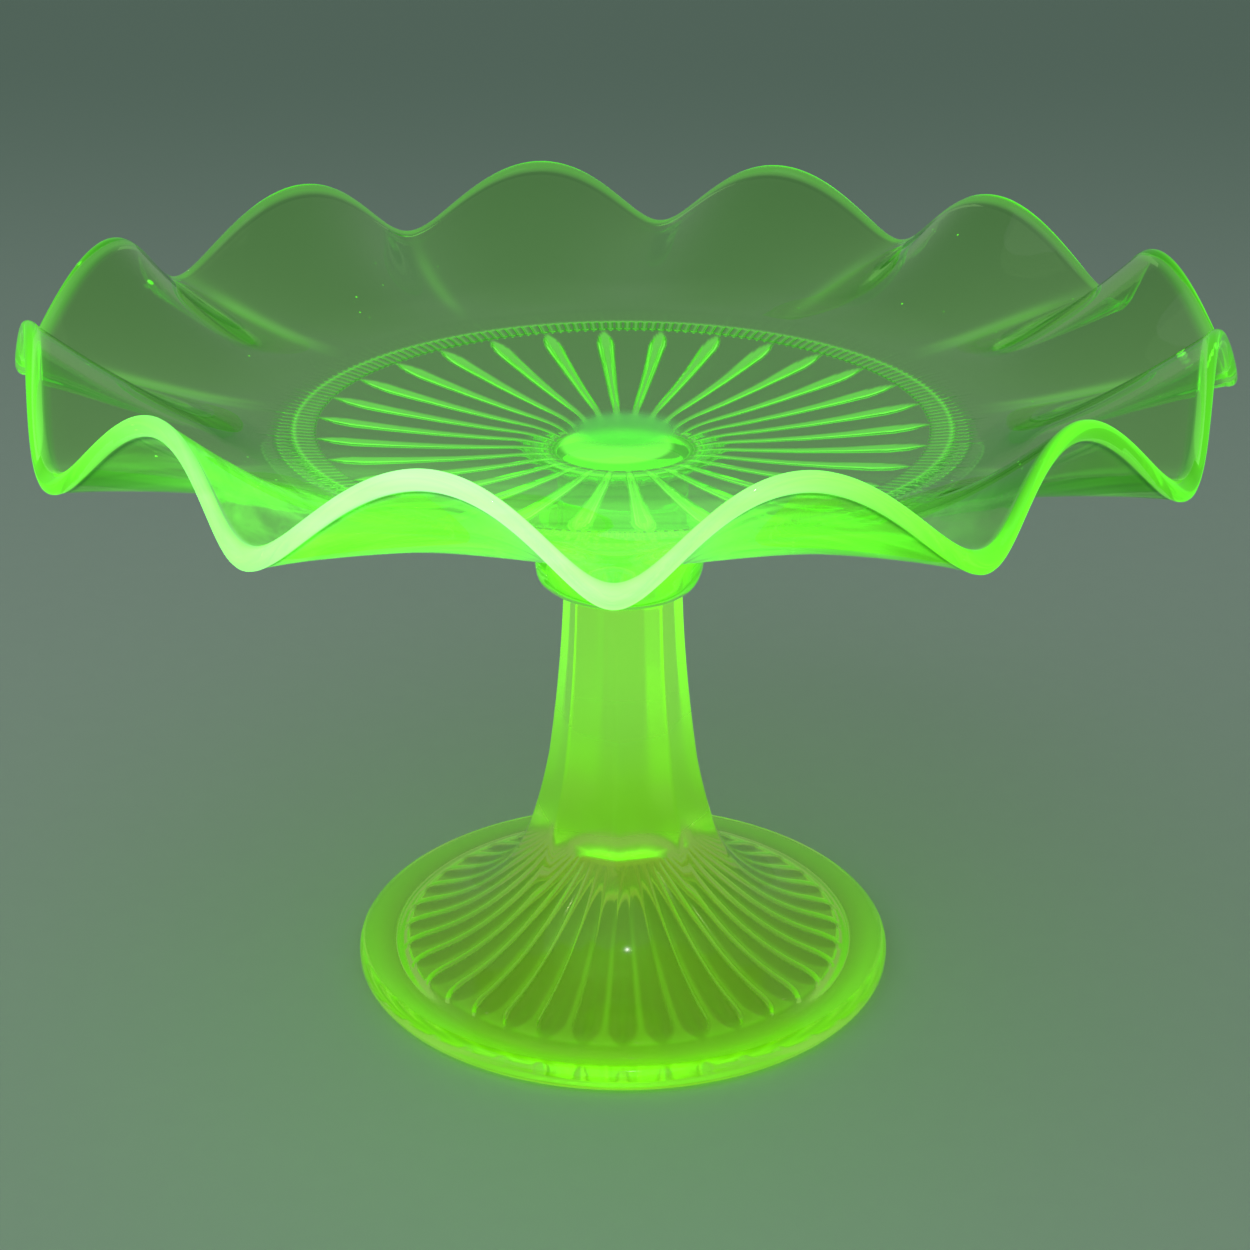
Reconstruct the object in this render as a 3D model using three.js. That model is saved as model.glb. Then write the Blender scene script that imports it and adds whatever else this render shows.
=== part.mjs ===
// A footed comport of pressed glass: a ruffled bowl on a flared, eight-sided pedestal.
// The two pressings are joined by a wafer of hot glass.
// Millimetres, +Z up, with the origin on the standing surface, under the middle of the foot.
import * as THREE from "three";

const { clamp, degToRad, euclideanModulo, lerp, radToDeg, smoothstep } = THREE.MathUtils;
const spot = (radius, level) => new THREE.Vector2(radius, level);

// Pedestal: foot and stem in one pressing
const pedestalHeight = 81;
const footRadius = 53.5;
const footEdgeHeight = 5.4;
const footEdgeFlat = 0.6; // upright part between the edge's two roundings
const footPlateWidth = 10; // from the foot's edge in to where the flare begins
const footPlateRise = 1.5;
const stemTopRadius = 11.6; // measured over the corners of the eight sides
const stemLowRadius = 14.9; // the same, where the flare leaves the stem
const stemLowLevel = 44;
const flareRun = spot(-20, 4); // tangents that bend the flare, outer end first
const flareClimb = spot(-4, 20);
const stemClimb = spot(-1.6, 11); // tangents that bend the stem, lower end first
const stemFinish = spot(-0.3, 12);
const stemSides = 8;
const stemTurn = degToRad(-5); // azimuth of one corner of the stem
const sidesFadeTop = 4; // the sides melt into the round foot between these two depths
const sidesFadeDepth = 30; // below the level where the flare leaves the stem

// Hollow under the pedestal
const standingRingWidth = 8; // from the foot's edge in to the hollow
const ringLean = 3; // how far the ring's inner wall leans in on its way up
const plateThickness = 3.6;
const hollowDive = spot(9, -9); // tangents that bend the ribbed underside, inner end first
const hollowRun = spot(14, -2.6);
const hollowTopRadius = 8.8;
const hollowTopLevel = 23.5; // where the ribs meet the hollow's plain domed top
const hollowTopRise = 2.6;
const domeStart = spot(4.6, 0); // tangents that bend the dome, inner end first
const domeFinish = spot(1, -1.8);
const footRibs = 36;
const footRibDepth = 0.45;

// Wafer between the two pressings
const waferThickness = 7.6;
const waferBulge = 3; // how far it stands out past its wider seat
const waferWaist = 0.62; // level of its widest ring, as a share of its thickness
const stemSeatMargin = 0.8; // the wafer's seats are this much wider than what they hold
const bossSeatMargin = 1;
const joinGap = 0.3; // width of the joint line above and below the wafer

// Bowl, with levels above its own lowest face
const bossRadius = 12.6;
const bossFillet = 8;
const floorLevel = 17.2; // underside of the floor, where the boss's axis would meet it
const floorThickness = 4.4;
const discRadius = 62; // pressed disc that carries the ribs
const discRise = 5.3; // how far the disc's edge lies above its middle
const discRibs = 30;
const discRibDepth = 0.55;
const ribsFrom = 22;
const wallThickness = 3.2;
const wallReach = 47; // from the disc's edge to the middle of the rim's bead
const wallRise = 16.8;
const beadRadius = 1.9;
const ruffles = 12;
const ruffleHeight = 7.4; // half of the height from a trough to a crest
const ruffleSpread = 2.7; // troughs lean out and crests lean in by this much
const ruffleGrowth = 1.5; // power by which the ruffles grow towards the rim
const plainWall = 5; // width of unruffled wall next to the disc
const ruffleTurn = degToRad(-91); // azimuth of the front trough
const wallThins = 16; // the wall takes this width to thin from the floor's thickness
const wallStart = spot(13.5, 1); // tangents that bend the wall, inner end first
const wallFinish = spot(16.5, 8);

// Fineness of the turned bodies
const bowlSegments = 180;
const pedestalSegments = 72;
const waferSegments = 48;

const ringInnerRadius = footRadius - standingRingWidth;
const plateLevel = footEdgeHeight + footPlateRise;
const lowerSeat = stemTopRadius + stemSeatMargin;
const upperSeat = bossRadius + bossSeatMargin;
const waferRadius = Math.max(lowerSeat, upperSeat) + waferBulge;
const waferLevel = pedestalHeight + joinGap;
const bowlLevel = waferLevel + waferThickness + joinGap;
const rimRadius = discRadius + wallReach;

// Even steps along a curve that leaves one spot and reaches another, bent by two tangents
function bendLine(from, fromTangent, toTangent, to, steps) {
  const curve = new THREE.CubicBezierCurve(
    from,
    from.clone().add(fromTangent),
    to.clone().sub(toTangent),
    to,
  );
  return curve.getPoints(steps);
}

function arcLine(centre, radius, fromDegrees, toDegrees, steps) {
  const arc = [];
  for (let i = 0; i <= steps; i += 1) {
    const angle = degToRad(fromDegrees + ((toDegrees - fromDegrees) * i) / steps);
    arc.push(spot(centre.x + radius * Math.cos(angle), centre.y + radius * Math.sin(angle)));
  }
  return arc;
}

// A body turned about +Z from an outline; shape moves each ring's spot by its azimuth
function turnedBody(outline, segments, shape) {
  const body = new THREE.LatheGeometry(outline, segments);
  body.rotateX(Math.PI / 2);
  const places = body.getAttribute("position");
  for (let i = 0; i < places.count; i += 1) {
    const azimuth = Math.atan2(places.getY(i), places.getX(i));
    const ring = i % outline.length;
    const moved = shape(outline[ring], azimuth, ring);
    places.setXYZ(i, moved.x * Math.cos(azimuth), moved.x * Math.sin(azimuth), moved.y);
  }
  body.computeVertexNormals();
  return body;
}

// Underside of the pedestal: from the hollow's dome along its ribs and onto the standing ring
function hollowLine() {
  const domeTop = spot(0, hollowTopLevel + hollowTopRise);
  const domeEdge = spot(hollowTopRadius, hollowTopLevel);
  const plateUnder = spot(ringInnerRadius - ringLean, plateLevel - plateThickness);
  const dome = bendLine(domeTop, domeStart, domeFinish, domeEdge, 3);
  const ribbed = bendLine(domeEdge, hollowDive, hollowRun, plateUnder, 7);
  return [...dome, ...ribbed.slice(1), spot(ringInnerRadius, 0)];
}

// Outside of the pedestal: round the foot's edge, up the flare and the stem to its flat top
function outerLine() {
  const rounding = (footEdgeHeight - footEdgeFlat) / 2;
  const edgeCentre = footRadius - rounding;
  const under = arcLine(spot(edgeCentre, rounding), rounding, -90, 0, 3);
  const over = arcLine(spot(edgeCentre, footEdgeHeight - rounding), rounding, 0, 90, 3);
  const plateTop = spot(footRadius - footPlateWidth, plateLevel);
  const stemLow = spot(stemLowRadius, stemLowLevel);
  const stemTop = spot(stemTopRadius, pedestalHeight);
  const flare = bendLine(plateTop, flareRun, flareClimb, stemLow, 8);
  const stem = bendLine(stemLow, stemClimb, stemFinish, stemTop, 4);
  return [...under, ...over, ...flare, ...stem.slice(1), spot(0, pedestalHeight)];
}

// Distance to the stem's side at an azimuth, as a share of the distance to its corners
function sideShare(azimuth) {
  const side = (2 * Math.PI) / stemSides;
  const fromMiddle = euclideanModulo(azimuth - stemTurn, side) - side / 2;
  return Math.cos(side / 2) / Math.cos(fromMiddle);
}

function makePedestal() {
  const hollow = hollowLine();
  const ribbedFrom = hollow.findIndex((ring) => ring.x >= hollowTopRadius);
  const ribbedTo = hollow.length - 2;
  return turnedBody([...hollow, ...outerLine()], pedestalSegments, (at, azimuth, ring) => {
    if (ring >= hollow.length) {
      const sided = smoothstep(at.y, stemLowLevel - sidesFadeDepth, stemLowLevel - sidesFadeTop);
      return spot(at.x * (1 + (sideShare(azimuth) - 1) * sided), at.y);
    }
    const ribbed = ring >= ribbedFrom && ring < ribbedTo;
    const rib = ribbed ? footRibDepth * Math.cos(footRibs * azimuth) : 0;
    return spot(at.x, at.y + rib);
  });
}

// The wafer bulges past both of its seats, as hot glass does when it is pressed
function makeWafer() {
  const waist = waferThickness * waferWaist;
  const lower = new THREE.QuadraticBezierCurve(
    spot(lowerSeat, 0),
    spot(waferRadius, waist * 0.35),
    spot(waferRadius, waist),
  );
  const upper = new THREE.QuadraticBezierCurve(
    spot(waferRadius, waist),
    spot(waferRadius, waferThickness * 0.97),
    spot(upperSeat, waferThickness),
  );
  const side = [...lower.getPoints(4), ...upper.getPoints(3).slice(1)];
  const outline = [spot(0, 0), ...side, spot(0, waferThickness)];
  return turnedBody(outline, waferSegments, (at) => at);
}

function discUnder(radius) {
  return floorLevel + discRise * (radius / discRadius) ** 2;
}

// Middle line of the wall, from the disc's edge to the middle of the rim's bead
function wallLine() {
  const start = spot(discRadius, discUnder(discRadius) + floorThickness / 2);
  const end = spot(rimRadius, start.y + wallRise);
  return bendLine(start, wallStart, wallFinish, end, 6);
}

// One face of the wall: side is 1 for the top and -1 for the underside
function wallFace(line, side) {
  return line.map((here, i) => {
    const ahead = line[Math.min(i + 1, line.length - 1)];
    const along = ahead.clone().sub(line[Math.max(i - 1, 0)]).normalize();
    const thinned = clamp((here.x - discRadius) / wallThins, 0, 1);
    const half = (side * lerp(floorThickness, wallThickness, thinned)) / 2;
    return spot(here.x - along.y * half, here.y + along.x * half);
  });
}

function bowlUnderLine() {
  const filletEnd = bossRadius + bossFillet;
  const boss = [spot(0, 0), spot(bossRadius, 0)];
  const filletFoot = spot(bossRadius, discUnder(filletEnd) - bossFillet);
  const fillet = bendLine(
    filletFoot,
    spot(0, bossFillet * 0.55),
    spot(bossFillet * 0.55, 0.4),
    spot(filletEnd, discUnder(filletEnd)),
    3,
  );
  const disc = [];
  const discSteps = 4;
  for (let i = 1; i <= discSteps; i += 1) {
    const radius = filletEnd + ((discRadius - filletEnd) * i) / discSteps;
    disc.push(spot(radius, discUnder(radius)));
  }
  return [...boss, ...fillet, ...disc];
}

function bowlTopLine() {
  return [1, 0.75, 0.45, 0].map((share) => {
    const radius = discRadius * share;
    return spot(radius, discUnder(radius) + floorThickness);
  });
}

function makeBowl() {
  const under = bowlUnderLine();
  const wall = wallLine();
  const wallUnder = wallFace(wall, -1).slice(1, -1);
  const wallTop = wallFace(wall, 1).slice(1, -1).reverse();
  const rim = wall[wall.length - 1];
  const lean = radToDeg(Math.atan2(wallFinish.y, wallFinish.x));
  const beadTurn = 180 - radToDeg(Math.asin(wallThickness / 2 / beadRadius));
  const bead = arcLine(rim, beadRadius, lean - beadTurn, lean + beadTurn, 5);
  const outline = [...under, ...wallUnder, ...bead, ...wallTop, ...bowlTopLine()];

  return turnedBody(outline, bowlSegments, (at, azimuth, ring) => {
    const ruffled = clamp((at.x - discRadius - plainWall) / (wallReach - plainWall), 0, 1.1);
    const strength = ruffled ** ruffleGrowth;
    const wave = Math.cos(ruffles * (azimuth - ruffleTurn));
    const ribbed = ring < under.length && at.x > ribsFrom;
    const rib = ribbed ? discRibDepth * Math.cos(discRibs * azimuth) : 0;
    return spot(at.x + ruffleSpread * wave * strength, at.y - ruffleHeight * wave * strength + rib);
  });
}

function piece(name, shape, level, finish) {
  const mesh = new THREE.Mesh(shape, new THREE.MeshStandardMaterial(finish));
  mesh.name = name;
  mesh.position.z = level;
  return mesh;
}

const clearGreen = { color: 0x66d12e, roughness: 0.05, metalness: 0, transparent: true, opacity: 0.4 };
const deepGreen = { color: 0x5fc414, roughness: 0.07, metalness: 0, transparent: true, opacity: 0.5 };

const comport = new THREE.Group();
comport.add(piece("pedestal", makePedestal(), 0, deepGreen));
comport.add(piece("joining_wafer", makeWafer(), waferLevel, clearGreen));
comport.add(piece("bowl", makeBowl(), bowlLevel, clearGreen));

export default comport;
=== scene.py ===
import math
import random

import bpy
import numpy as np
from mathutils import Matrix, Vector


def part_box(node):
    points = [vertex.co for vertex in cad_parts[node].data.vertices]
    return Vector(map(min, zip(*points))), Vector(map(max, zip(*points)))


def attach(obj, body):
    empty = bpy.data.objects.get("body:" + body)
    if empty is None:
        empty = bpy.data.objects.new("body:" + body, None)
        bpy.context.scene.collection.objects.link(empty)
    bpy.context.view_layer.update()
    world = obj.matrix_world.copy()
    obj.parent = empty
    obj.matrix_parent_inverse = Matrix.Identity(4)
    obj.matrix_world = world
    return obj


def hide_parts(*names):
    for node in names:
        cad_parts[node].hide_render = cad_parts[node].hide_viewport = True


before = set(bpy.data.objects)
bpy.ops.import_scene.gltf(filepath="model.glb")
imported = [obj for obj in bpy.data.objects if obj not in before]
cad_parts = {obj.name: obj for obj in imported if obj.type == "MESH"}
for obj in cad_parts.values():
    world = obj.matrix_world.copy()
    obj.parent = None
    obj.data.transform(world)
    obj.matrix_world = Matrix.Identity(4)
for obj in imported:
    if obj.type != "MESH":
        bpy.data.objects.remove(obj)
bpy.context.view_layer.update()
print("frame loaded:", ", ".join(sorted(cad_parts)))

mm = 0.001
dice = random.Random(36)


def smooth(value, low, high):
    # 0 below low, 1 above high and an even curve between
    share = np.clip((np.asarray(value, float) - low) / (high - low), 0, 1)
    return share * share * (3 - 2 * share)


def bezier(ends, steps):
    # points of a cubic curve through four control points
    t = np.linspace(0, 1, steps)[:, None]
    a, b, c, d = (np.array(p, float) for p in ends)
    return a * (1 - t) ** 3 + 3 * b * t * (1 - t) ** 2 + 3 * c * t * t * (1 - t) + d * t ** 3


def arc(centre, radius, startDegrees, endDegrees, steps):
    angle = np.radians(np.linspace(startDegrees, endDegrees, steps))
    return np.stack([centre[0] + radius * np.cos(angle), centre[1] + radius * np.sin(angle)], 1)


def spaced(start, end, steps):
    radii, levels = (np.linspace(start[i], end[i], steps) for i in (0, 1))
    return np.stack([radii, levels], 1)


def turned(outline, turns):
    # radius, level and azimuth of every point of an outline that is carried round the axis
    azimuth = np.linspace(0, 2 * math.pi, turns, endpoint=False)[None, :]
    return outline[:, :1] + 0 * azimuth, outline[:, 1:] + 0 * azimuth, azimuth + 0 * outline[:, :1]


def spin(radius, level, azimuth):
    return np.stack([radius * np.cos(azimuth), radius * np.sin(azimuth), level], -1)


def gathered(rows):
    # the rows of a skin in one list, with the first and the last row as one point each
    return np.concatenate([rows[0, :1], *rows[1:-1], rows[-1, :1]])


voidShares = {"ribLight": 1.0}  # bubbles get as much painted light as the ribs do


def skinOf(name, points, voids=(), **shares):
    # a closed skin from rings of points, whose first and last ring sit on the axis
    rings, turns, _ = points.shape
    last = 1 + (rings - 2) * turns
    around = [(i, (i + 1) % turns) for i in range(turns)]
    faces = []
    for ring in range(rings - 3):
        low, high = 1 + ring * turns, 1 + (ring + 1) * turns
        faces += [(low + a, low + b, high + b, high + a) for a, b in around]
    faces += [(0, 1 + b, 1 + a) for a, b in around]
    faces += [(last, last - turns + a, last - turns + b) for a, b in around]
    places = gathered(points)
    spread = {key: gathered(share) for key, share in shares.items()}
    for voidPlaces, voidFaces in voids:
        faces += [tuple(len(places) + i for i in face) for face in voidFaces]
        places = np.concatenate([places, voidPlaces])
        for key, share in spread.items():
            caught = np.full(len(voidPlaces), voidShares.get(key, 0.0))
            spread[key] = np.concatenate([share, caught])
    mesh = bpy.data.meshes.new(name)
    mesh.from_pydata((places * mm).tolist(), [], faces)
    for key, share in spread.items():
        mesh.attributes.new(key, "FLOAT", "POINT").data.foreach_set("value", share)
    mesh.shade_smooth()
    skin = bpy.data.objects.new(name, mesh)
    bpy.context.scene.collection.objects.link(skin)
    return skin


def bubble(centre, size, sides=10):
    # a small void in the glass, so its faces look inwards
    places = []
    for row in range(1, sides // 2):
        tilt = math.pi * row / (sides // 2)
        for col in range(sides):
            turn = 2 * math.pi * col / sides
            out, up = math.sin(tilt), math.cos(tilt)
            places.append((out * math.cos(turn), out * math.sin(turn), up))
    rows = sides // 2 - 1
    top, bottom = rows * sides, rows * sides + 1
    places += [(0, 0, 1), (0, 0, -1)]
    faces = []
    for col in range(sides):
        after = (col + 1) % sides
        faces.append((top, after, col))
        faces.append((bottom, (rows - 1) * sides + col, (rows - 1) * sides + after))
        for row in range(rows - 1):
            here, below = row * sides, (row + 1) * sides
            faces.append((here + col, here + after, below + after, below + col))
    return np.array(places) * np.array(size) + np.array(centre), faces


class Strand:
    # one socket of a finish, added and scaled as a number is

    def __init__(self, socket):
        self.socket = socket

    def reckon(self, operation, first, second):
        tree = self.socket.id_data
        node = tree.nodes.new("ShaderNodeMath")
        node.operation = operation
        for entry, value in zip(node.inputs, (first, second)):
            if isinstance(value, Strand):
                tree.links.new(value.socket, entry)
            else:
                entry.default_value = value
        return Strand(node.outputs[0])

    def __add__(self, other):
        return self.reckon("ADD", self, other)

    def __sub__(self, other):
        return self.reckon("SUBTRACT", self, other)

    def __rsub__(self, other):
        return self.reckon("SUBTRACT", other, self)

    def __mul__(self, other):
        return self.reckon("MULTIPLY", self, other)

    __radd__ = __add__
    __rmul__ = __mul__


class Finish:
    # a material whose nodes are added one by one

    def __init__(self, name):
        self.material = bpy.data.materials.new(name)
        self.material.use_nodes = True
        self.tree = self.material.node_tree
        self.tree.nodes.clear()

    def node(self, kind, settings=None, inputs=None, output=0):
        node = self.tree.nodes.new("ShaderNode" + kind)
        for key, value in (settings or {}).items():
            setattr(node, key, value)
        for key, value in (inputs or {}).items():
            entry = node.inputs[key]
            if isinstance(value, Strand):
                self.tree.links.new(value.socket, entry)
            else:
                entry.default_value = value
        return Strand(node.outputs[output]) if node.outputs else None

    def share(self, name):
        # how much of one of the shares on a skin's points there is here
        return self.node("Attribute", {"attribute_name": name}, {}, 2)

    def mix(self, share, first, second):
        return self.node("Mix", {"data_type": "RGBA"}, {0: share, 6: first, 7: second}, 2)

    def close(self, **parts):
        self.node("OutputMaterial", {}, {part.capitalize(): strand for part, strand in parts.items()})
        return self.material


glassSizes = {
    "ior": 1.52,
    "waviness": 55.0,  # bumps per metre on the fire-polished skin
    "waveDepth": 0.00012,
    "waveStrength": 0.35,
    "mottle": 28.0,  # clouds per metre in its colour and gloss
    "grain": 900.0,
    "grainInSkin": 0.012,
    "grainInGloss": 0.008,
    "streaks": 75.0,
    "streakBend": 0.6,
    "drawn": (0.3, 1.2, 3.6),  # streaks lie along the front wall
    "paintedLightSpot": (-0.018, -0.09, 0.128),  # painted light: the skin's glow is painted brighter round this spot, where the glass comes closest to the lamp
    "paintedLightReach": (0.088, 0.028),  # distances at which its painted light fades out and is at its full
    "rimReach": (0.16, 0.04),
    # painted highlight: a near-white glow painted on the bead round this spot
    "paintedHighlightSpot": (-0.025, -0.103, 0.155),
    "paintedHighlightReach": (0.082, 0.012),
    "paintedHighlightColour": (0.5, 1.0, 0.52, 1),
    "crescentSpot": (-0.0012, -0.0052, 0.1108),  # painted light: a bright round painted on the bowl's floor, over the boss
    "crescentReach": (0.0112, 0.0096),
    "paintedCrescentGlow": (0.14, 0.8, 0.05, 1),
    "wellSpot": (0.0003, 0.0036, 0.1108),  # and the dim painted one that leaves a crescent of it
    "wellReach": (0.0122, 0.0065),
    "wellHaze": 0.45,
    "throatHaze": 0.24,
    # painted shade: the tint and the glow given where the skin is painted dark
    "paintedShadeTint": (0.08, 0.36, 0.1, 1),
    "unlit": (0.0, 0.0, 0.0, 1),
}


def closeness(finish, place, spot, reach):
    # 1 near a spot and 0 far from it
    apart = finish.node("VectorMath", {"operation": "DISTANCE"}, {0: place, 1: spot}, 1)
    far, full = reach
    rise = {"interpolation_type": "SMOOTHSTEP"}
    return finish.node("MapRange", rise, {"Value": apart, "From Min": far, "From Max": full})


def skinGlow(finish, place, cloud, streak, glows, edgeSpot, edgeReach):
    # painted light on the skin: each of its parts has a glow colour far from the lamp and one near it
    s = glassSizes
    near = closeness(finish, place, s["paintedLightSpot"], s["paintedLightReach"])
    lit = finish.mix(near * (streak * 3.2 - 0.8), *glows["skin"])
    for share in ("foldLight", "ribLight", "core"):
        if share in glows:
            part = finish.mix(near, *glows[share])
            lit = finish.mix(finish.share(share) * (0.75 + 0.5 * cloud), lit, part)
    if "edge" in glows:
        part = finish.mix(closeness(finish, place, edgeSpot, edgeReach), *glows["edge"])
        # painted highlight on the front of the bead
        paintedHighlight = closeness(finish, place, s["paintedHighlightSpot"], s["paintedHighlightReach"]) * (0.6 + 0.6 * streak)
        part = finish.mix(paintedHighlight, part, s["paintedHighlightColour"])
        lit = finish.mix(finish.share("edge") * (0.75 + 0.5 * cloud), lit, part)
    return lit


def uraniumGlass(name, tints, glow, soak, haze, glows, edge=(None, None), paintedWellGlow=None):
    # clear glass that also lights up along the path that the eye takes through it
    s = glassSizes
    finish = Finish(name)
    place = finish.node("TexCoord", output=3)
    cloud = finish.node("TexNoise", {}, {"Vector": place, "Scale": s["mottle"], "Detail": 3.0})
    wave = finish.node("TexNoise", {}, {"Vector": place, "Scale": s["waviness"], "Detail": 1.5})
    grain = finish.node("TexNoise", {}, {"Vector": place, "Scale": s["grain"], "Detail": 2.0})
    drawn = finish.node("VectorMath", {"operation": "MULTIPLY"}, {0: place, 1: s["drawn"]})
    streak = finish.node("TexNoise", {}, {
        "Vector": drawn,
        "Scale": s["streaks"],
        "Detail": 3.0,
        "Distortion": s["streakBend"],
    })
    skin = finish.node("Bump", {}, {
        "Height": wave + grain * s["grainInSkin"],
        "Strength": s["waveStrength"],
        "Distance": s["waveDepth"],
    })
    # painted light on the skin, brighter near the lamp's spot
    lit = skinGlow(finish, place, cloud, streak, glows, *edge)
    roughness = cloud * haze + grain * s["grainInGloss"] + finish.share("throat") * s["throatHaze"]
    if paintedWellGlow:
        # painted light: a bright crescent on the bowl's floor over the boss, with a dimmer painted glow
        # inside it
        crescent = closeness(finish, place, s["crescentSpot"], s["crescentReach"])
        dimmed = closeness(finish, place, s["wellSpot"], s["wellReach"])
        lit = finish.mix(crescent * (0.5 + 0.4 * streak), lit, s["paintedCrescentGlow"])
        lit = finish.mix(dimmed, lit, paintedWellGlow)
        roughness = roughness + dimmed * s["wellHaze"]
    # painted shade: where the skin is marked for it, its tint is darkened and its glow put out
    paintedShade = finish.share("paintedShade")
    glass = finish.node("BsdfPrincipled", {}, {
        "Base Color": finish.mix(paintedShade, finish.mix(cloud, *tints), s["paintedShadeTint"]),
        "Roughness": roughness,
        "IOR": s["ior"],
        "Transmission Weight": 1.0,
        "Emission Color": finish.mix(paintedShade, lit, s["unlit"]),
        "Emission Strength": 1.0,
        "Normal": skin,
    })
    soaked = finish.node("VolumeAbsorption", {}, {"Color": soak[0], "Density": soak[1]})
    burning = finish.node("Emission", {}, {"Color": glow[0], "Strength": glow[1]})
    body = finish.node("AddShader", {}, {0: soaked, 1: burning})
    return finish.close(surface=glass, volume=body)


bowlSizes = {
    "turns": 840,
    "bossRadius": 12.6,
    "bossFillet": 8.0,
    "filletPull": 0.55,  # share of the fillet's reach by which its ends are pulled round
    "floorLevel": 17.2,
    "floorThickness": 4.4,
    "discRadius": 62.0,
    "discRise": 5.3,
    "ribs": 30,
    "ribTurn": -2.0,
    "ribEdge": (0.08, 0.5),  # painted light on a rib comes up between these two heights
    "notches": 210,
    "notchInner": 57.8,
    "notchDepth": 0.6,
    "notchStep": 0.05,
    "notchLightRadius": 61.6,  # radius of the fine painted bright line round the notches
    "wallThickness": 3.2,
    "wallThins": 16.0,
    "wallStart": (13.5, 1.0),
    "wallFinish": (16.5, 8.0),
    "wallRise": 16.8,
    "wallReach": 47.0,
    "bead": 1.78,
    "beadGlow": 2.2,  # the bead's painted light reaches this far down the wall in front
    "beadGlowBack": 2.7,  # and this much less far at the back
    "neck": ((1.9, 0.7), (1.4, 1.0), (0.9, 0.7)),  # rings short of the bead's middle, and how dark each is painted in front, as painted shade under the bead
    "ruffles": 12,
    "ruffleHeight": 7.4,
    "ruffleSpread": 2.7,
    "ruffleGrowth": 1.5,
    "plainWall": 5.0,
    "ruffleTurn": -90.6,
    "foldLightTurn": 1.0,  # degrees from a trough's middle to its painted bright line, on the side towards the back
    "foldLightWidth": 1.1,
    "foldLightStart": (64, 80),
    "foldLightFinish": (92, 104),
    "pinch": 1.5,  # degrees by which a trough is narrower than a crest
    "drifts": (  # where the crimping strayed, how widely and how far, in degrees
        (120, 70, -4.4),
        (-147, 15, 4.5),
        (-34, 15, -4.5),
    ),
    "bubbles": ((100, 163.5, (0.75, 0.75, 0.75)), (104, -14.5, (0.8, 1.5, 1.1))),
    "seeds": 34,
    "seedSize": (0.12, 0.26),
    "seedRadius": (66, 104),
    "lean": 2.6,  # the rim sank by this much at the back and rose by it in front
}


def discUnder(radius):
    s = bowlSizes
    return s["floorLevel"] + s["discRise"] * (np.asarray(radius) / s["discRadius"]) ** 2


def discLine(radii, above=0.0):
    return np.stack([radii, discUnder(radii) + above], 1)


def wallLine(steps):
    # the middle of the wall before it was ruffled, from the disc's edge to the middle of the bead
    s = bowlSizes
    start = np.array([s["discRadius"], float(discUnder(s["discRadius"])) + s["floorThickness"] / 2])
    end = start + np.array([s["wallReach"], s["wallRise"]])
    return bezier([start, start + s["wallStart"], end - s["wallFinish"], end], steps)


def wallFaces():
    # the wall's underside and top and its bead, from the disc outwards
    s = bowlSizes
    line = wallLine(20)
    outwards = np.array(s["wallFinish"]) / np.hypot(*s["wallFinish"])
    neck = line[-1] - outwards * np.array([[short] for short, dark in s["neck"]])
    line = np.concatenate([line[:-1], neck, line[-1:]])
    along = np.gradient(line, axis=0)
    along /= np.linalg.norm(along, axis=1)[:, None]
    thinned = np.clip((line[:, :1] - s["discRadius"]) / s["wallThins"], 0, 1)
    half = (s["floorThickness"] + (s["wallThickness"] - s["floorThickness"]) * thinned) / 2
    normal = np.stack([-along[:, 1], along[:, 0]], 1)
    lean = math.degrees(math.atan2(s["wallFinish"][1], s["wallFinish"][0]))
    turn = 180 - math.degrees(math.asin(s["wallThickness"] / 2 / s["bead"]))
    bead = arc(line[-1], s["bead"], lean - turn, lean + turn, 12)
    return line - normal * half, line + normal * half, bead


def ribHeight(radius, azimuth):
    # leaf-shaped ridges on the underside, thin towards the boss and pointed at the ring of notches
    half = np.interp(radius, [13, 22, 30, 42, 51, 54.5, 57.6], [0.6, 0.75, 0.85, 1.2, 1.7, 1.3, 0.25])
    tall = np.interp(radius, [12.8, 15, 24, 40, 51, 54.5, 57.6], [0.0, 0.35, 0.55, 0.8, 1.05, 0.9, 0.2])
    sector = 2 * math.pi / bowlSizes["ribs"]
    fromRib = azimuth - math.radians(bowlSizes["ribTurn"])
    across = ((fromRib + sector / 2) % sector - sector / 2) * radius
    return tall * np.clip(1 - (across / half) ** 2, 0, 1) ** 0.6


def notchHeight(radius, azimuth):
    s = bowlSizes
    band = smooth(radius, s["notchInner"], s["notchInner"] + 0.4)
    band = band * (1 - smooth(radius, s["discRadius"] - 0.3, s["discRadius"] + 0.5))
    tooth = 2 * np.abs((azimuth * s["notches"] / (2 * math.pi)) % 1 - 0.5)
    return band * (s["notchStep"] + s["notchDepth"] * tooth)


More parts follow.
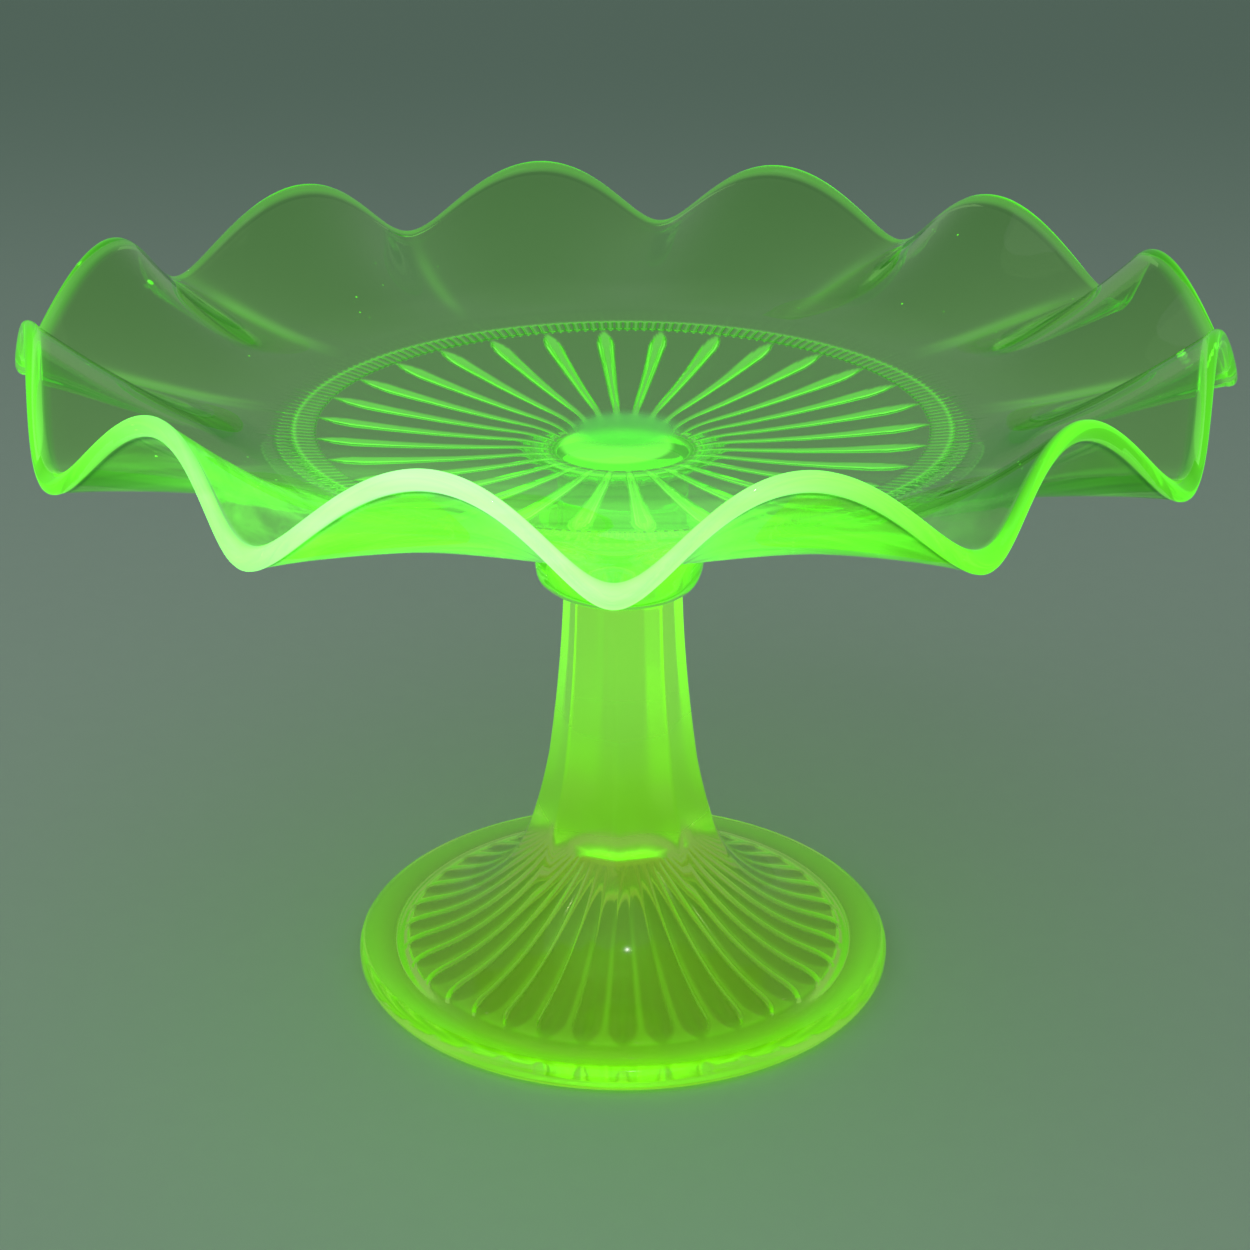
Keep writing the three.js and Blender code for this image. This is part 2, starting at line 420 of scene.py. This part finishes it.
def ruffle(radius, level, azimuth):
    # pulls the softened wall into its waves
    s = bowlSizes
    grown = (radius - s["discRadius"] - s["plainWall"]) / (s["wallReach"] - s["plainWall"])
    grown = np.clip(grown, 0, 1.1) ** s["ruffleGrowth"]
    phase = s["ruffles"] * (azimuth - math.radians(s["ruffleTurn"]))
    wave = np.cos(phase)
    shift = -s["pinch"] * np.sin(phase)
    for place, width, most in s["drifts"]:
        apart = (np.degrees(azimuth) - place + 180) % 360 - 180
        shift = shift + most * np.exp(-((apart / width) ** 2))
    moved = azimuth + grown * np.radians(shift)
    sunk = s["lean"] * np.sin(azimuth) * smooth(radius, s["discRadius"] - 4, s["discRadius"] + s["wallReach"])
    return radius + s["ruffleSpread"] * wave * grown, level - s["ruffleHeight"] * wave * grown - sunk, moved


def foldLightShare(radius, azimuth):
    # painted light in lines along the troughs, longest at the sides
    s = bowlSizes
    wide = 360 / s["ruffles"]
    fromTrough = (np.degrees(azimuth) - s["ruffleTurn"] + wide / 2) % wide - wide / 2
    middle = s["foldLightTurn"] * np.clip(1.3 * np.cos(azimuth), -1, 1)
    troughLight = np.exp(-((fromTrough - middle) / s["foldLightWidth"]) ** 2)
    troughLight = troughLight * smooth(radius, *s["foldLightStart"]) * (1 - 0.7 * smooth(radius, *s["foldLightFinish"]))
    return troughLight * np.abs(np.cos(azimuth)) ** 1.5


def bubbleInWall(base, radius, degrees, size):
    # a void half way through the wall, at a radius and an azimuth
    line = wallLine(40)
    level = np.interp(radius, line[:, 0], line[:, 1])
    radius, level, azimuth = ruffle(np.array(float(radius)), level, np.radians(degrees))
    return bubble(spin(radius, level + base, azimuth), size)


def bowlVoids(base):
    s = bowlSizes
    voids = [bubbleInWall(base, *void) for void in s["bubbles"]]
    for _ in range(s["seeds"]):
        size = dice.uniform(*s["seedSize"])
        place = dice.uniform(*s["seedRadius"]), dice.uniform(0, 360)
        voids.append(bubbleInWall(base, *place, (size, size, size)))
    return voids


def bowlRows():
    # the outline in stretches, from the middle of the boss out along the underside and back over the top
    s = bowlSizes
    filletEnd = s["bossRadius"] + s["bossFillet"]
    discLow = float(discUnder(filletEnd))
    footOfFillet = discLow - s["bossFillet"]
    pull = s["bossFillet"] * s["filletPull"]
    boss = spaced((0, 0), (s["bossRadius"], 0), 3)
    bossSide = spaced((s["bossRadius"], 0.4), (s["bossRadius"], footOfFillet - 0.6), 4)
    fillet = bezier([
        (s["bossRadius"], footOfFillet),
        (s["bossRadius"], footOfFillet + pull),
        (filletEnd - pull, discLow - 0.4),
        (filletEnd, discLow),
    ], 9)
    disc = discLine(np.concatenate([np.linspace(filletEnd, 49, 13)[1:], np.linspace(50, 57.4, 9)]))
    ring = discLine(np.array([57.8, 58.2, 59.0, 60.2, 61.0, 61.4, 61.7, 62.0, 62.4]))
    under, top, bead = wallFaces()
    floorRadii = np.array([0.92, 0.82, 0.7, 0.56, 0.42, 0.28, 0.14, 0]) * s["discRadius"]
    floor = discLine(floorRadii, s["floorThickness"])
    return [boss, bossSide, fillet, disc, ring, under[2:-1], bead, top[-2:0:-1], floor]


def makeBowl():
    s = bowlSizes
    low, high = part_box("bowl")
    base = low.z / mm
    rows = bowlRows()
    outline = np.concatenate(rows)
    rings = np.arange(len(outline))
    wallFrom, beadFrom = (sum(len(row) for row in rows[:i]) for i in (5, 6))
    neckShade = np.zeros(len(outline))
    neckShade[beadFrom - len(s["neck"]):beadFrom] = [dark for short, dark in s["neck"]]
    radius, level, azimuth = turned(outline, s["turns"])
    pressed = (rings < wallFrom)[:, None] & (radius > s["bossRadius"] + 0.5)
    ribs = np.where(pressed, ribHeight(radius, azimuth), 0)
    notches = np.where(pressed, notchHeight(radius, azimuth), 0)
    rim = s["discRadius"] + s["wallReach"]
    # painted light: the bead glows further down the wall in front than at the back
    front = -np.sin(azimuth)
    atBack = smooth(-front, -0.2, 0.6)
    beadLow = rim - s["beadGlow"] + s["beadGlowBack"] * atBack
    beadLightShare = smooth(radius, beadLow, rim + s["bead"] * (0.6 + 0.4 * atBack))
    # painted light: a fine bright line round the notches, and on the rib crests and the notches
    ringLightLine = np.exp(-((radius - s["notchLightRadius"]) / 0.3) ** 2) * pressed
    ribLightShare = np.maximum(smooth(ribs, *s["ribEdge"]), np.maximum(ringLightLine, 0.6 * smooth(notches, 0.2, 0.6)))
    # painted shade: dark rings under the bead and a dark notched line, both in front only
    neck = neckShade[:, None] * smooth(front, 0.1, 0.5)
    paintedNotchShade = np.exp(-((radius - 61.0) / 1.0) ** 2) * smooth(notches, 0.05, 0.4) * smooth(front, 0.91, 0.98)
    shares = {
        "edge": beadLightShare,
        "ribLight": ribLightShare,
        "foldLight": foldLightShare(radius, azimuth),
        "paintedShade": np.clip(neck + paintedNotchShade, 0, 1),
    }
    radius, level, azimuth = ruffle(radius, level - ribs - notches, azimuth)
    return skinOf("bowl_glass", spin(radius, level + base, azimuth), bowlVoids(base), **shares)


bowl = makeBowl()
print("bowl:", len(bowl.data.polygons), "faces")


waferSizes = {
    "turns": 288,
    "lowerSeat": 12.4,
    "upperSeat": 13.6,
    "waist": 0.62,
    "melt": 0.35,  # how far it runs into the pressings above and below, across the joint lines
    "uneven": 0.35,
    "offMiddle": -0.9,
}


def makeWafer():
    s = waferSizes
    low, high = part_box("joining_wafer")
    bottom, top = low.z / mm - s["melt"], high.z / mm + s["melt"]
    tall = top - bottom
    reach = (high.x - low.x) / 2 / mm
    waist = bottom + tall * s["waist"]
    lower = bezier([
        (s["lowerSeat"], bottom),
        (reach - 1, bottom + 0.3),
        (reach, waist - tall * 0.35),
        (reach, waist),
    ], 14)
    upper = bezier([
        (reach, waist),
        (reach, top - 0.9),
        (reach - 0.8, top),
        (s["upperSeat"], top),
    ], 10)
    below, above = spaced((0, bottom), (11.5, bottom), 3), spaced((12.5, top), (0, top), 3)
    outline = np.concatenate([below, lower, upper[1:], above])
    radius, level, azimuth = turned(outline, s["turns"])
    edge = smooth(radius, s["lowerSeat"], reach)
    wobble = 0.5 * np.sin(3 * azimuth + 0.6) + 0.3 * np.sin(7 * azimuth + 2.1) + 0.2 * np.sin(13 * azimuth)
    radius = radius - edge * s["uneven"] * (1 - wobble)
    level = level + edge * s["uneven"] * 0.6 * np.sin(2 * azimuth + 1.2)
    aside = np.array([s["offMiddle"], 0, 0]) * edge[..., None]
    return skinOf("wafer_glass", spin(radius, level, azimuth) + aside)


wafer = makeWafer()
print("wafer:", len(wafer.data.polygons), "faces")


pedestalSizes = {
    "turns": 648,
    "edgeHeight": 5.4,
    "edgeFlat": 0.6,
    "plateWidth": 10.0,
    "plateRise": 1.5,
    "stemTop": 11.6,
    "stemLow": 14.9,
    "stemLowLevel": 44.0,
    "flareRun": (-20.0, 4.0),
    "flareClimb": (-4.0, 20.0),
    "stemClimb": (-1.6, 11.0),
    "stemFinish": (-0.3, 12.0),
    "sides": 8,
    "sideTurn": -5.0,
    "cornerCut": 0.988,  # share of the full width across the corners at which they are melted round
    "cornerCrispness": 260,
    "fadeTop": 4.0,
    "fadeDepth": 30.0,
    "seamLevel": 19.5,  # line where the two parts of the mould met
    "seamHeight": 0.12,
    "seamWidth": 0.35,
    "ringWidth": 8.0,
    "ringLean": 3.0,
    "plate": 3.6,
    "hollowDive": (9.0, -9.0),
    "hollowRun": (14.0, -2.6),
    "domeEdge": (8.8, 23.5),
    "domeRise": 2.6,
    "domeStart": (4.6, 0.0),
    "domeFinish": (1.0, -1.8),
    "ribs": 36,
    "fluteDepth": 0.8,
    "fluteEnd": 43.6,
    "fluteRound": 5.5,  # length of a flute's rounded outer end
    "coreGlow": (24, 62),  # levels between which light painted on the stem's skin comes up, over the glow of the glass itself
    "throatRise": (27, 37),  # and those between which its haze comes and goes
    "throatFall": (50, 64),
}


def fluteDepth(radius, azimuth):
    # scooped grooves under the foot with round outer ends, and thin ridges between them
    s = pedestalSizes
    sector = 2 * math.pi / s["ribs"]
    across = ((azimuth + sector / 2) % sector - sector / 2) / (sector / 2)
    ending = np.clip((radius - (s["fluteEnd"] - s["fluteRound"])) / s["fluteRound"], 0, 1)
    reach = 0.9 * np.sqrt(1 - ending ** 2) + 1e-6
    scoop = np.clip(1 - (across / reach) ** 2, 0, 1) ** 0.8
    return scoop * np.interp(radius, [8.6, 11, 20, 42], [0.15, 0.35, 0.65, 1.0]) * s["fluteDepth"]


def sideShare(azimuth):
    # distance to the stem's flat sides, as a share of that to their corners, with the corners melted round
    s = pedestalSizes
    side = 2 * math.pi / s["sides"]
    fromMiddle = (azimuth - math.radians(s["sideTurn"])) % side - side / 2
    share = math.cos(side / 2) / np.cos(fromMiddle)
    crispness = s["cornerCrispness"]
    return -np.log(np.exp(-crispness * share) + math.exp(-crispness * s["cornerCut"])) / crispness


def hollowRows(ringInner, plateLevel):
    # the underside in stretches, from the top of the dome to the standing ring
    s = pedestalSizes
    domeEdge = np.array(s["domeEdge"])
    domeTop = np.array([0, domeEdge[1] + s["domeRise"]])
    plateUnder = np.array([ringInner - s["ringLean"], plateLevel - s["plate"]])
    dome = bezier([domeTop, domeTop + s["domeStart"], domeEdge - s["domeFinish"], domeEdge], 10)
    funnel = bezier([domeEdge, domeEdge + s["hollowDive"], plateUnder - s["hollowRun"], plateUnder], 52)
    step = bezier([plateUnder, plateUnder + [1.2, -0.3], (ringInner - 0.7, 0.6), (ringInner, 0)], 9)
    return [dome, funnel[1:], step[1:]]


def outerRows(foot, rounding, plateLevel, top):
    # the outside in stretches, from the foot's edge to the middle of the stem's top
    s = pedestalSizes
    edge = foot - rounding
    plateTop = np.array([foot - s["plateWidth"], plateLevel])
    stemLow = np.array([s["stemLow"], s["stemLowLevel"]])
    stemTop = np.array([s["stemTop"], top])
    under = arc((edge, rounding), rounding, -90, 0, 9)
    over = arc((edge, s["edgeHeight"] - rounding), rounding, 0, 90, 9)
    flare = bezier([plateTop, plateTop + s["flareRun"], stemLow - s["flareClimb"], stemLow], 40)
    stem = bezier([stemLow, stemLow + s["stemClimb"], stemTop - s["stemFinish"], stemTop], 20)
    return [under, over, flare, stem[1:], spaced((7, top), (0, top), 2)]


def makePedestal():
    s = pedestalSizes
    low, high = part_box("pedestal")
    top, foot = high.z / mm, (high.x - low.x) / 2 / mm
    ringInner = foot - s["ringWidth"]
    rounding = (s["edgeHeight"] - s["edgeFlat"]) / 2
    plateLevel = s["edgeHeight"] + s["plateRise"]
    hollow = hollowRows(ringInner, plateLevel)
    ringFlat = spaced((ringInner + 1.4, 0), (foot - rounding - 1.4, 0), 2)
    outline = np.concatenate([*hollow, ringFlat, *outerRows(foot, rounding, plateLevel, top)])
    inside = (np.arange(len(outline)) < sum(len(row) for row in hollow))[:, None]
    radius, level, azimuth = turned(outline, s["turns"])
    pressed = inside & (radius > s["domeEdge"][0] - 0.1) & (radius < s["fluteEnd"])
    scooped = np.where(pressed, fluteDepth(radius, azimuth), 0)
    lean = smooth(radius, 30, 12)  # near the stem the flutes cut outwards as well as up
    level, radius = level + scooped * (1 - 0.4 * lean), radius + scooped * 0.5 * lean
    sided = smooth(level, s["stemLowLevel"] - s["fadeDepth"], s["stemLowLevel"] - s["fadeTop"])
    seam = s["seamHeight"] * np.exp(-((level - s["seamLevel"]) / s["seamWidth"]) ** 2)
    radius = np.where(inside, radius, radius * (1 + (sideShare(azimuth) - 1) * sided) + seam)
    # painted light on the skin: the foot's edge, the ridges between the flutes and the stem
    shares = {
        "edge": smooth(radius, ringInner - 1.5, ringInner + 4),
        "ribLight": pressed * smooth(radius, 8, 30) * (1 - smooth(scooped, 0.05, 0.35)),
        "core": np.where(inside, 0, smooth(level, *s["coreGlow"])),
        "throat": smooth(level, *s["throatRise"]) * (1 - smooth(level, *s["throatFall"])),
    }
    return skinOf("pedestal_glass", spin(radius, level, azimuth), **shares)


pedestal = makePedestal()
print("pedestal:", len(pedestal.data.polygons), "faces")


# tints, glow and soak hold the colours and strengths of the glass itself, and glows those of the light
# painted on its skin, far from the lamp and near it
glassFinishes = {
    "bowl_glass": {
        "tints": ((0.62, 0.95, 0.42, 1), (0.55, 0.92, 0.34, 1)),
        "glow": ((0.17, 1.0, 0.04, 1), 6.5),
        "soak": ((0.5, 0.85, 0.2, 1), 14.0),
        "haze": 0.02,
        "glows": {
            "skin": ((0.0, 0.004, 0.0, 1), (0.055, 0.36, 0.015, 1)),
            "foldLight": ((0.03, 0.17, 0.004, 1), (0.06, 0.36, 0.01, 1)),
            "ribLight": ((0.07, 0.46, 0.012, 1), (0.2, 0.9, 0.07, 1)),
            "edge": ((0.03, 0.2, 0.002, 1), (0.11, 0.7, 0.015, 1)),
        },
        # the bead's painted light is brightest near the same spot
        "edge": (glassSizes["paintedLightSpot"], glassSizes["rimReach"]),
        "paintedWellGlow": (0.02, 0.2, 0.035, 1),
    },
    "wafer_glass": {
        "tints": ((0.75, 1.0, 0.5, 1), (0.62, 1.0, 0.4, 1)),
        "glow": ((0.17, 1.0, 0.04, 1), 7.0),
        "soak": ((0.5, 0.85, 0.2, 1), 14.0),
        "haze": 0.06,
        "glows": {
            "skin": ((0.012, 0.08, 0.0, 1), (0.05, 0.36, 0.005, 1)),
        },
    },
    "pedestal_glass": {
        "tints": ((0.96, 0.96, 0.38, 1), (0.9, 0.92, 0.28, 1)),
        "glow": ((0.3, 1.0, 0.0, 1), 5.0),
        "soak": ((0.65, 0.9, 0.1, 1), 14.0),
        "haze": 0.2,
        "glows": {
            "skin": ((0.004, 0.015, 0.0, 1), (0.03, 0.2, 0.01, 1)),
            "ribLight": ((0.03, 0.13, 0.003, 1), (0.03, 0.13, 0.003, 1)),
            "core": ((0.04, 0.2, 0.014, 1), (0.06, 0.3, 0.02, 1)),
            "edge": ((0.012, 0.07, 0.0, 1), (0.035, 0.22, 0.0, 1)),
        },
        # painted light on the foot's edge is brightest round this spot in front
        "edge": ((0.0, -0.062, 0.0), (0.1, 0.02)),
    },
}

for piece, node, slot in (
    (bowl, "bowl", "bowl_glass"),
    (wafer, "joining_wafer", "wafer_glass"),
    (pedestal, "pedestal", "pedestal_glass"),
):
    piece.data.materials.append(uraniumGlass(slot, **glassFinishes[slot]))
    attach(piece, "root")
    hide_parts(node)
print("glass finished")


stageSizes = {
    "floorSpan": 4.0,
    "floorDrop": 0.0003,
    "floorColour": (0.60, 0.68, 0.62, 1),
    "shadeAndFibreColour": (0.30, 0.40, 0.34, 1),
    "shadeFade": (0.05, 0.9),  # painted shade: the card is painted darker and darker, as if lit less and less, between these two distances behind the comport
    "fibre": 160.0,
    "fibreShare": 0.08,
    "cardRoughness": 0.75,
    "worldColour": (0.52, 0.64, 0.58, 1),
    "worldStrength": 0.40,
    "bounces": 16,  # light goes on inside the thick rims for many turns
}


def makeFloor():
    s = stageSizes
    half, level = s["floorSpan"] / 2, -s["floorDrop"]
    mesh = bpy.data.meshes.new("floor")
    corners = [(-half, -half, level), (half, -half, level), (half, half, level), (-half, half, level)]
    mesh.from_pydata(corners, [], [(0, 1, 2, 3)])
    floor = bpy.data.objects.new("floor", mesh)
    bpy.context.scene.collection.objects.link(floor)
    finish = Finish("floor_card")
    place = finish.node("TexCoord", output=3)
    fibre = finish.node("TexNoise", {}, {"Vector": place, "Scale": s["fibre"], "Detail": 4.0})
    behind = finish.node("SeparateXYZ", {}, {"Vector": place}, 1)
    near, far = s["shadeFade"]
    rise = {"interpolation_type": "SMOOTHSTEP"}
    # painted shade: the card darkens towards the shade colour farther behind the comport; its fibre mottle is
    # mixed towards the same colour
    floorShade = finish.node("MapRange", rise, {"Value": behind, "From Min": near, "From Max": far})
    shadedCard = finish.mix(floorShade, s["floorColour"], s["shadeAndFibreColour"])
    card = finish.node("BsdfPrincipled", {}, {
        "Base Color": finish.mix(fibre * s["fibreShare"], shadedCard, s["shadeAndFibreColour"]),
        "Roughness": s["cardRoughness"],
    })
    mesh.materials.append(finish.close(surface=card))


lampSizes = {
    "wide_softbox": {
        "place": (-0.5, -1.1, 1.1),
        "aim": (0, -0.2, 0),
        "size": 2.6,
        "power": 4.4,
        "colour": (0.90, 1.0, 0.94),
    },
    "glint_lamp": {
        "place": (0.03, -0.35, 0.55),
        "aim": (0, 0, 0.03),
        "size": 0.012,
        "power": 0.05,
        "colour": (1.0, 1.0, 0.95),
    },
}


def makeLamp(name, place, aim, size, power, colour):
    lamp = bpy.data.lights.new(name, "AREA")
    lamp.shape = "DISK"
    lamp.size = size
    lamp.energy = power
    lamp.color = colour
    held = bpy.data.objects.new(name, lamp)
    held.location = place
    held.rotation_euler = (Vector(aim) - Vector(place)).to_track_quat("-Z", "Y").to_euler()
    bpy.context.scene.collection.objects.link(held)
    return held


def makeWorld():
    s = stageSizes
    world = bpy.data.worlds.new("studio")
    world.use_nodes = True
    background = world.node_tree.nodes["Background"]
    background.inputs["Color"].default_value = s["worldColour"]
    background.inputs["Strength"].default_value = s["worldStrength"]
    scene = bpy.context.scene
    scene.world = world
    scene.view_settings.view_transform = "Standard"
    scene.cycles.max_bounces = s["bounces"]
    scene.cycles.transmission_bounces = s["bounces"]


cameraSizes = {
    "elevation": 23.76,
    "distance": 0.5145,
    "aim": (0.0004, 0.0, 0.07215),
    "lens": 76.5,
    "sensor": 36.0,
}


def makeCamera():
    s = cameraSizes
    lens = bpy.data.cameras.new("camera")
    lens.lens = s["lens"]
    lens.sensor_width = s["sensor"]
    lens.clip_start = 0.01
    camera = bpy.data.objects.new("camera", lens)
    angle = math.radians(s["elevation"])
    back = Vector((0, -math.cos(angle), math.sin(angle))) * s["distance"]
    camera.location = Vector(s["aim"]) + back
    camera.rotation_euler = (-back).to_track_quat("-Z", "Y").to_euler()
    bpy.context.scene.collection.objects.link(camera)
    bpy.context.scene.camera = camera


makeFloor()
makeLamp("wide_softbox", **lampSizes["wide_softbox"])
glint = makeLamp("glint_lamp", **lampSizes["glint_lamp"])  # only its reflections are wanted
glint.data.use_shadow = False
glint.visible_diffuse = glint.visible_transmission = False
makeWorld()
makeCamera()
print("stage set")
